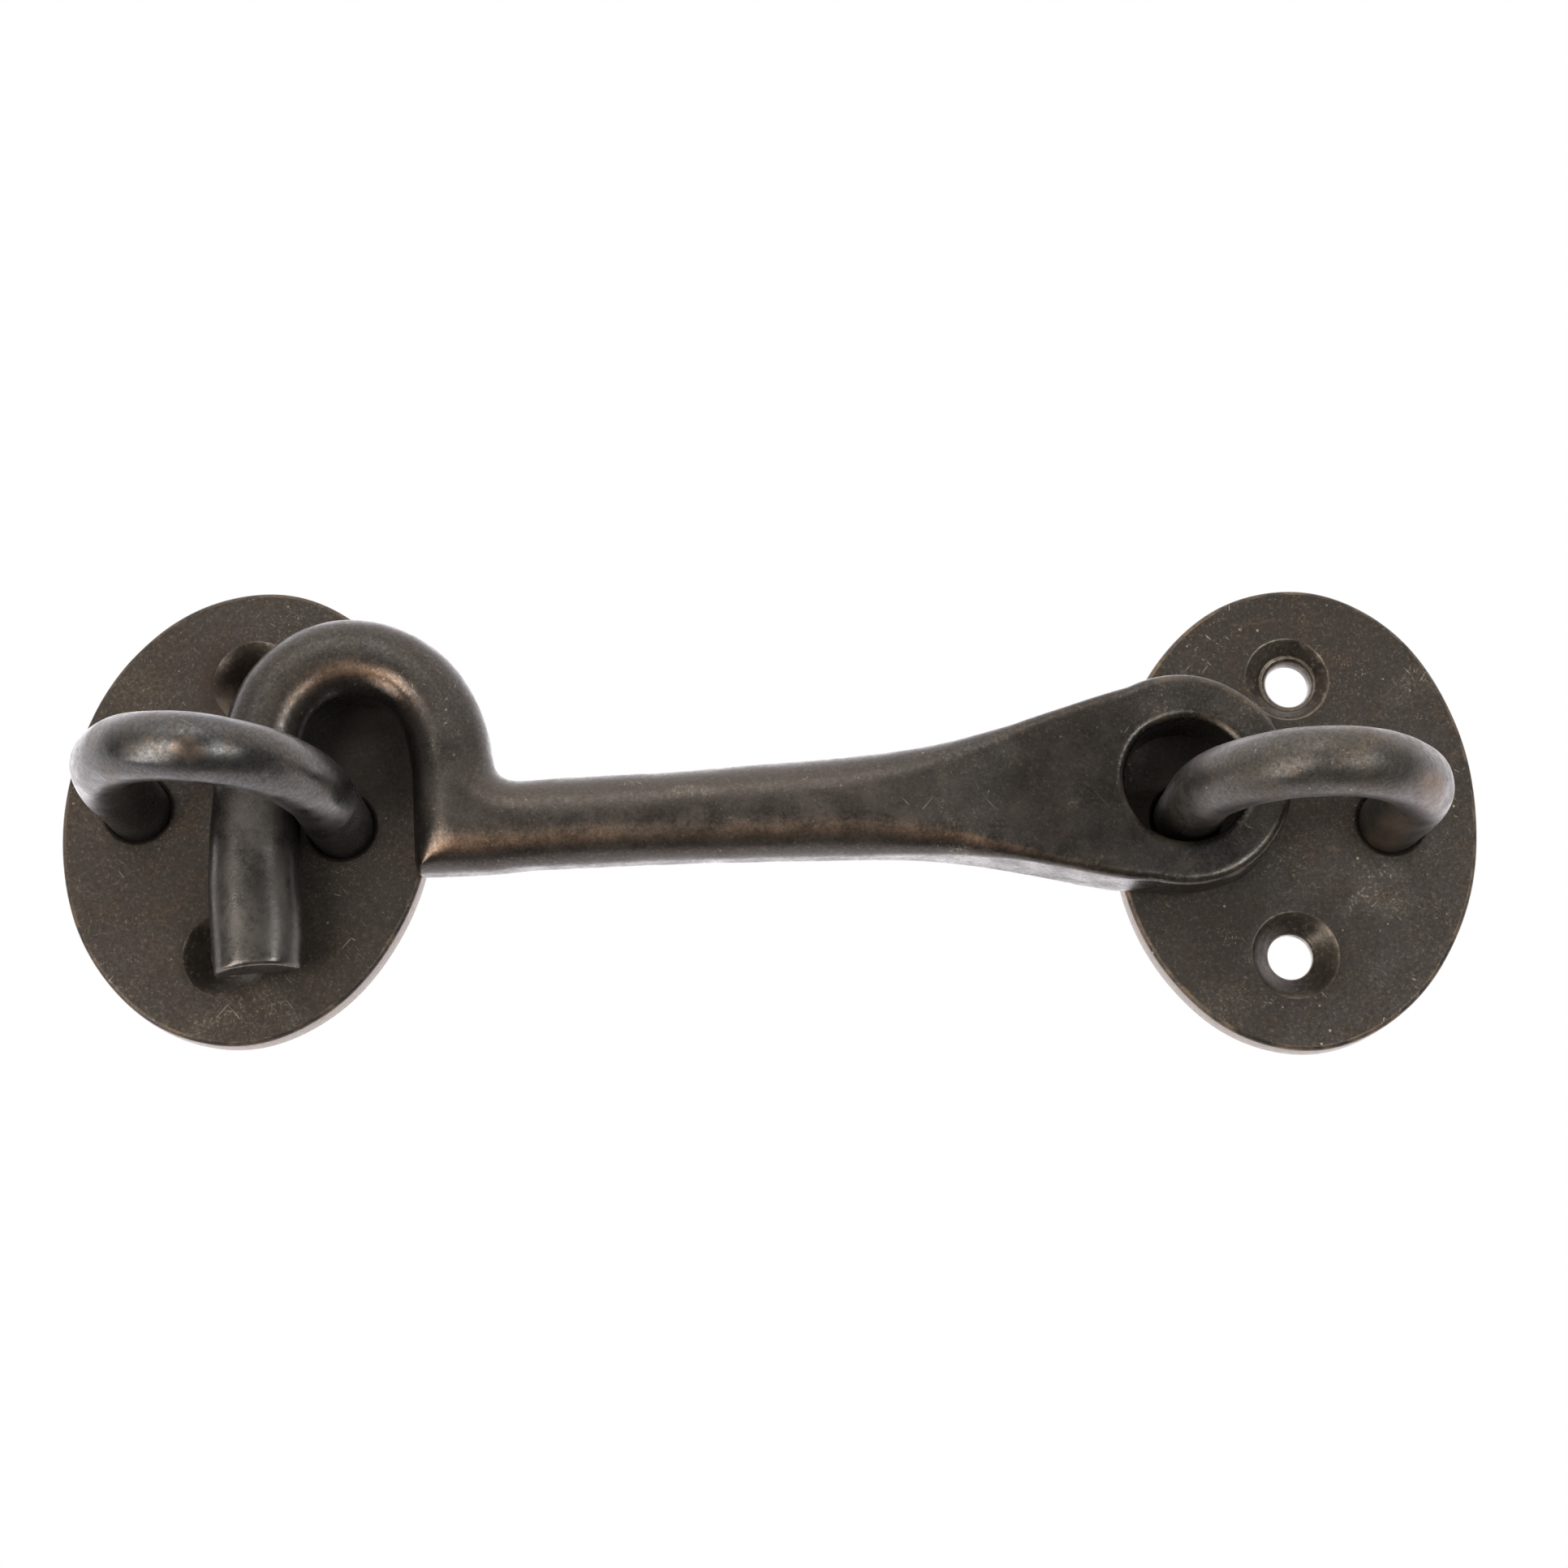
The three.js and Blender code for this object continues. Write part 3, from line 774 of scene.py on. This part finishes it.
    # patches by position: without a colour, a near-black painted shade where the hook and its eye cover the surface;
    # with a colour, painted highlights and toned-down painted sheen, partly rubbed bronze: centre, reach, strength,
    # colour
    for sx, sz, rx, rz, gain, *own in painted_shade_sheen_and_rub:
        at = N.new("ShaderNodeVectorMath", operation="SUBTRACT", ins={0: raw, 1: (sx * MM, 0, sz * MM)}).outputs[0]
        at = stretched(N, at, (0, 0, 0), 1000.0 / rx, 0.0, 1000.0 / rz)
        ln = N.new("ShaderNodeVectorMath", operation="LENGTH", ins={0: at}).outputs["Value"]
        amount = N.math("MULTIPLY", N.ramp(ln, 1.25, 0.55), gain)
        if own:
            amount = N.math("MULTIPLY", amount, N.ramp(mid, 0.34, 0.62, 0.82, 1.0))
        col = N.mix(amount, col, own[0] if own else (0.0085, 0.0062, 0.0045))
    # roughness
    r = N.math("ADD", N.ramp(mid, 0.3, 0.7, rough - 0.06, rough + 0.10), N.ramp(fine, 0.3, 0.7, -0.05, 0.07))
    r = N.math("ADD", r, N.math("MULTIPLY", N.math("MAXIMUM", d1, lines), 0.25))
    if sinks:
        r = N.math("SUBTRACT", r, N.math("MULTIPLY", sk, 0.16))
    # bump: cast skin, fine pores
    b1 = N.math("MULTIPLY", N.noise(tc, 900, 5, 0.62), 0.55 * grain)
    b2 = N.math("MULTIPLY", fine, 0.35 * grain)
    b3 = N.math("MULTIPLY", N.noise(tc, 260, 3, 0.55), 1.1 * grain)
    hgt = N.math("ADD", N.math("ADD", b1, b2), b3)
    bump = N.new("ShaderNodeBump", ins={"Strength": 0.36, "Distance": 0.00012, "Height": hgt}).outputs["Normal"]
    p = N.new("ShaderNodeBsdfPrincipled", ins={"Base Color": col, "Metallic": metal, "Roughness": r, "Normal": bump})
    out = N.new("ShaderNodeOutputMaterial")
    N.nt.links.new(p.outputs["BSDF"], out.inputs["Surface"])
    return mat


PLATE = ((0.0285, 0.0226, 0.0178), (0.0445, 0.0318, 0.0213), (0.0335, 0.0282, 0.0243))
mats = {
    arm: bronze("hook_bronze", (0.036, 0.031, 0.027), (0.050, 0.039, 0.029), (0.040, 0.037, 0.034), rough=0.30, dust=0.45, wear=0.7,
                metal=0.9, edge_attr=True, worn_sheen_gain=0.70, mottle=0.35,
                # painted shade over the eye's face and round its hole; painted highlight lightening the hook's leg and
                # the shank's middle; the two crown patches tone down the painted sheen there
                painted_shade_sheen_and_rub=((-20.5, -1.0, 8.0, 12.0, 0.42), (-5.0, 3.0, 10.0, 9.0, 0.20),
                       (-97.5, -10.0, 6.5, 11.0, 0.66, (0.064, 0.058, 0.053)), (-84.8, 6.0, 3.0, 4.0, 0.5, (0.040, 0.033, 0.028)),
                       (-94.2, 6.0, 2.6, 3.2, 0.5, (0.048, 0.042, 0.038)), (-56.0, 0.0, 28.0, 5.0, 0.40, (0.060, 0.050, 0.042))),
                scuffs=((-57.0, 1.15, 1.9, 0.45, -0.15, 0.75), (-58.8, 0.9, 0.9, 0.6, 0.3, 0.5), (-20.5, -6.2, 3.0, 0.8, 0.25, 0.75),
                        (-21.8, -0.4, 0.8, 0.7, 0.4, 0.7), (-33.6, -1.2, 0.5, 1.6, 0.5, 0.6), (-32.2, -4.6, 1.8, 0.7, 0.5, 0.6),
                        (-5.4, 9.0, 4.5, 2.2, 0.9, 0.45), (-12.0, 8.6, 3.5, 0.9, -0.2, 0.40))),
    keeper_staple: bronze("keeper_staple_bronze", (0.046, 0.043, 0.040), (0.072, 0.055, 0.042), (0.054, 0.055, 0.056), rough=0.30,
                          dust=0.22, grain=0.7, wear=0.8, metal=0.9, offset=0.31, worn_sheen_gain=0.7,
                          # painted highlight, partly rubbed bronze, on the staple's top between the two lamps'
                          # reflections
                          painted_shade_sheen_and_rub=((-100.4, -0.5, 1.7, 1.1, 0.45, (0.13, 0.085, 0.055)),),
                          scuffs=((-92.5, 0.3, 2.2, 2.6, 0.3, 0.22),)),
    pivot_staple: bronze("pivot_staple_bronze", (0.050, 0.044, 0.038), (0.080, 0.062, 0.044), (0.060, 0.057, 0.052), rough=0.40,
                         dust=0.5, grain=0.9, wear=1.3, metal=0.85, offset=0.57, worn_sheen_gain=0.30,
                         # painted highlight, partly rubbed bronze, on the right leg's lower side; darker on the left
                         # leg where it passes through the eye
                         painted_shade_sheen_and_rub=((8.6, -2.6, 1.9, 1.3, 0.45, (0.13, 0.085, 0.056)), (-6.0, -4.0, 4.0, 3.0, 0.25)),
                         scuffs=((2.0, 2.0, 4.0, 1.2, -0.1, 0.35),)),
    keeper_plate: bronze("keeper_plate_bronze", *PLATE, rough=0.50, dust=0.45, wear=0.5, metal=0.85, edge_attr=True, offset=0.83, sinks=True,
                         # painted shadow in the hook's bight and under its leg; painted shade in both countersinks
                         # under the hook
                         painted_shade_sheen_and_rub=((-89.6, 6.2, 5.6, 6.4, 0.78), (-99.5, -4.0, 3.4, 8.0, 0.35), (-102.0, 13.6, 4.5, 4.5, 0.80, (0.020, 0.012, 0.009)),
                                (-101.2, -13.4, 4.5, 4.5, 0.40, (0.020, 0.014, 0.010))),
                         scuffs=((-98.6, -18.0, 4.2, 1.8, -0.4, 0.45), (-103.0, -19.8, 3.0, 1.2, 0.2, 0.35), (-112.0, 13.0, 2.5, 2.5, 0, 0.35))),
    pivot_plate: bronze("pivot_plate_bronze", *PLATE, rough=0.50, dust=0.75, wear=0.85, metal=0.85, edge_attr=True, offset=0.13, sinks=True,
                        # painted shadow on the plate seen through the eye's hole; a plain darkening towards the plate's
                        # lower middle
                        painted_shade_sheen_and_rub=((-10.4, 1.5, 7.2, 7.2, 0.80), (-1.0, -11.5, 9.0, 8.0, 0.28)),
                        scuffs=((7.6, -7.0, 3.4, 1.3, 0.65, 0.75), (9.5, -8.2, 2.0, 1.4, 0.3, 0.6), (13.4, 14.2, 4.5, 1.6, 0.6, 0.35),
                                (-6.5, -17.5, 3.6, 1.8, 0.3, 0.30), (3.0, -4.5, 6.0, 3.0, 0.3, 0.25))),
}
for ob, m in mats.items():
    ob.data.materials.clear()
    ob.data.materials.append(m)

# ---- stage, light, camera --------------------------------------------------
fm = bpy.data.materials.new("floor_paper")
fm.use_nodes = True
fb = fm.node_tree.nodes["Principled BSDF"]
fb.inputs["Base Color"].default_value = (0.86, 0.86, 0.86, 1)
fb.inputs["Roughness"].default_value = 0.9
bpy.ops.mesh.primitive_circle_add(vertices=96, radius=1.6, fill_type="NGON", location=(-0.05, 0, -0.30))
floor = bpy.context.object
floor.name = "floor"
floor.data.materials.append(fm)
floor.visible_glossy = False

ROOM_LOW, ROOM_HIGH, SWEEP = 0.18, 2.7, 2.5
world = bpy.data.worlds.new("studio")
bpy.context.scene.world = world
world.use_nodes = True
nt = world.node_tree
nt.nodes.clear()
tcw = nt.nodes.new("ShaderNodeTexCoord")
sep = nt.nodes.new("ShaderNodeSeparateXYZ")
nt.links.new(tcw.outputs["Generated"], sep.inputs[0])


def world_range(src, a, b, lo, hi):
    n = nt.nodes.new("ShaderNodeMapRange")
    n.interpolation_type = "SMOOTHSTEP"
    for key, val in (("From Min", a), ("From Max", b), ("To Min", lo), ("To Max", hi)):
        n.inputs[key].default_value = val
    nt.links.new(src, n.inputs["Value"])
    return n.outputs["Result"]


# The room in front is dim, dimmer low down; the white sweep behind the object is bright.
behind = world_range(sep.outputs["Y"], -0.04, 0.16, 0.0, 1.0)
room = world_range(sep.outputs["Z"], -0.08, 0.98, ROOM_LOW, ROOM_HIGH)
tone = nt.nodes.new("ShaderNodeMix")
tone.data_type = "FLOAT"
nt.links.new(behind, tone.inputs[0])
nt.links.new(room, tone.inputs[2])
tone.inputs[3].default_value = SWEEP
tint = nt.nodes.new("ShaderNodeMix")
tint.data_type = "RGBA"
nt.links.new(behind, tint.inputs[0])
tint.inputs[6].default_value = (1.0, 0.97, 0.94, 1)
tint.inputs[7].default_value = (1.0, 0.962, 1.0, 1)
bg = nt.nodes.new("ShaderNodeBackground")
nt.links.new(tint.outputs[2], bg.inputs["Color"])
nt.links.new(tone.outputs[0], bg.inputs["Strength"])
bgc = nt.nodes.new("ShaderNodeBackground")
bgc.inputs["Color"].default_value = (1, 1, 1, 1)
bgc.inputs["Strength"].default_value = 1.0
lp = nt.nodes.new("ShaderNodeLightPath")
mx = nt.nodes.new("ShaderNodeMixShader")
nt.links.new(lp.outputs["Is Camera Ray"], mx.inputs["Fac"])
nt.links.new(bg.outputs[0], mx.inputs[1])
nt.links.new(bgc.outputs[0], mx.inputs[2])
wo = nt.nodes.new("ShaderNodeOutputWorld")
nt.links.new(mx.outputs[0], wo.inputs["Surface"])


def softbox(name, az, el, dist, sx, sy, radiance, colour=(1, 1, 1)):
    """A soft light seen from the object at azimuth az (0 = straight in front) and elevation el."""
    li = bpy.data.lights.new(name, "AREA")
    li.shape = "RECTANGLE"
    li.size, li.size_y = sx, sy
    li.energy = radiance * math.pi * sx * sy
    li.color = colour
    ob = bpy.data.objects.new(name, li)
    bpy.context.scene.collection.objects.link(ob)
    az, el = math.radians(az), math.radians(el)
    d = Vector((math.sin(az) * math.cos(el), -math.cos(az) * math.cos(el), math.sin(el)))
    ob.location = Vector((-0.05, -0.01, 0)) + d * dist
    ob.rotation_euler = (-d).to_track_quat("-Z", "Z").to_euler()
    ob.visible_camera = False
    return ob


softbox("softbox_left", -47, -24, 0.52, 0.60, 0.24, 11.5, (1.0, 0.97, 0.93))
softbox("softbox_right", 31, -8, 0.52, 0.13, 0.30, 17.0, (0.92, 0.97, 1.0))
softbox("softbox_top", -20, 33, 0.55, 0.42, 0.26, 2.3)

bpy.context.scene.view_settings.view_transform = "Standard"

cam_data = bpy.data.cameras.new("camera")
cam_data.sensor_width = 36.0
cam_data.sensor_fit = "HORIZONTAL"
cam_data.lens = 3333.78 / 1932 * 36.0
cam_data.clip_start, cam_data.clip_end = 0.01, 20
cam = bpy.data.objects.new("camera", cam_data)
bpy.context.scene.collection.objects.link(cam)
cam.location = (-0.048303, -0.2582, -0.06067)
cam.rotation_euler = (math.radians(104.13), 0.0, 0.0021)
bpy.context.scene.camera = cam
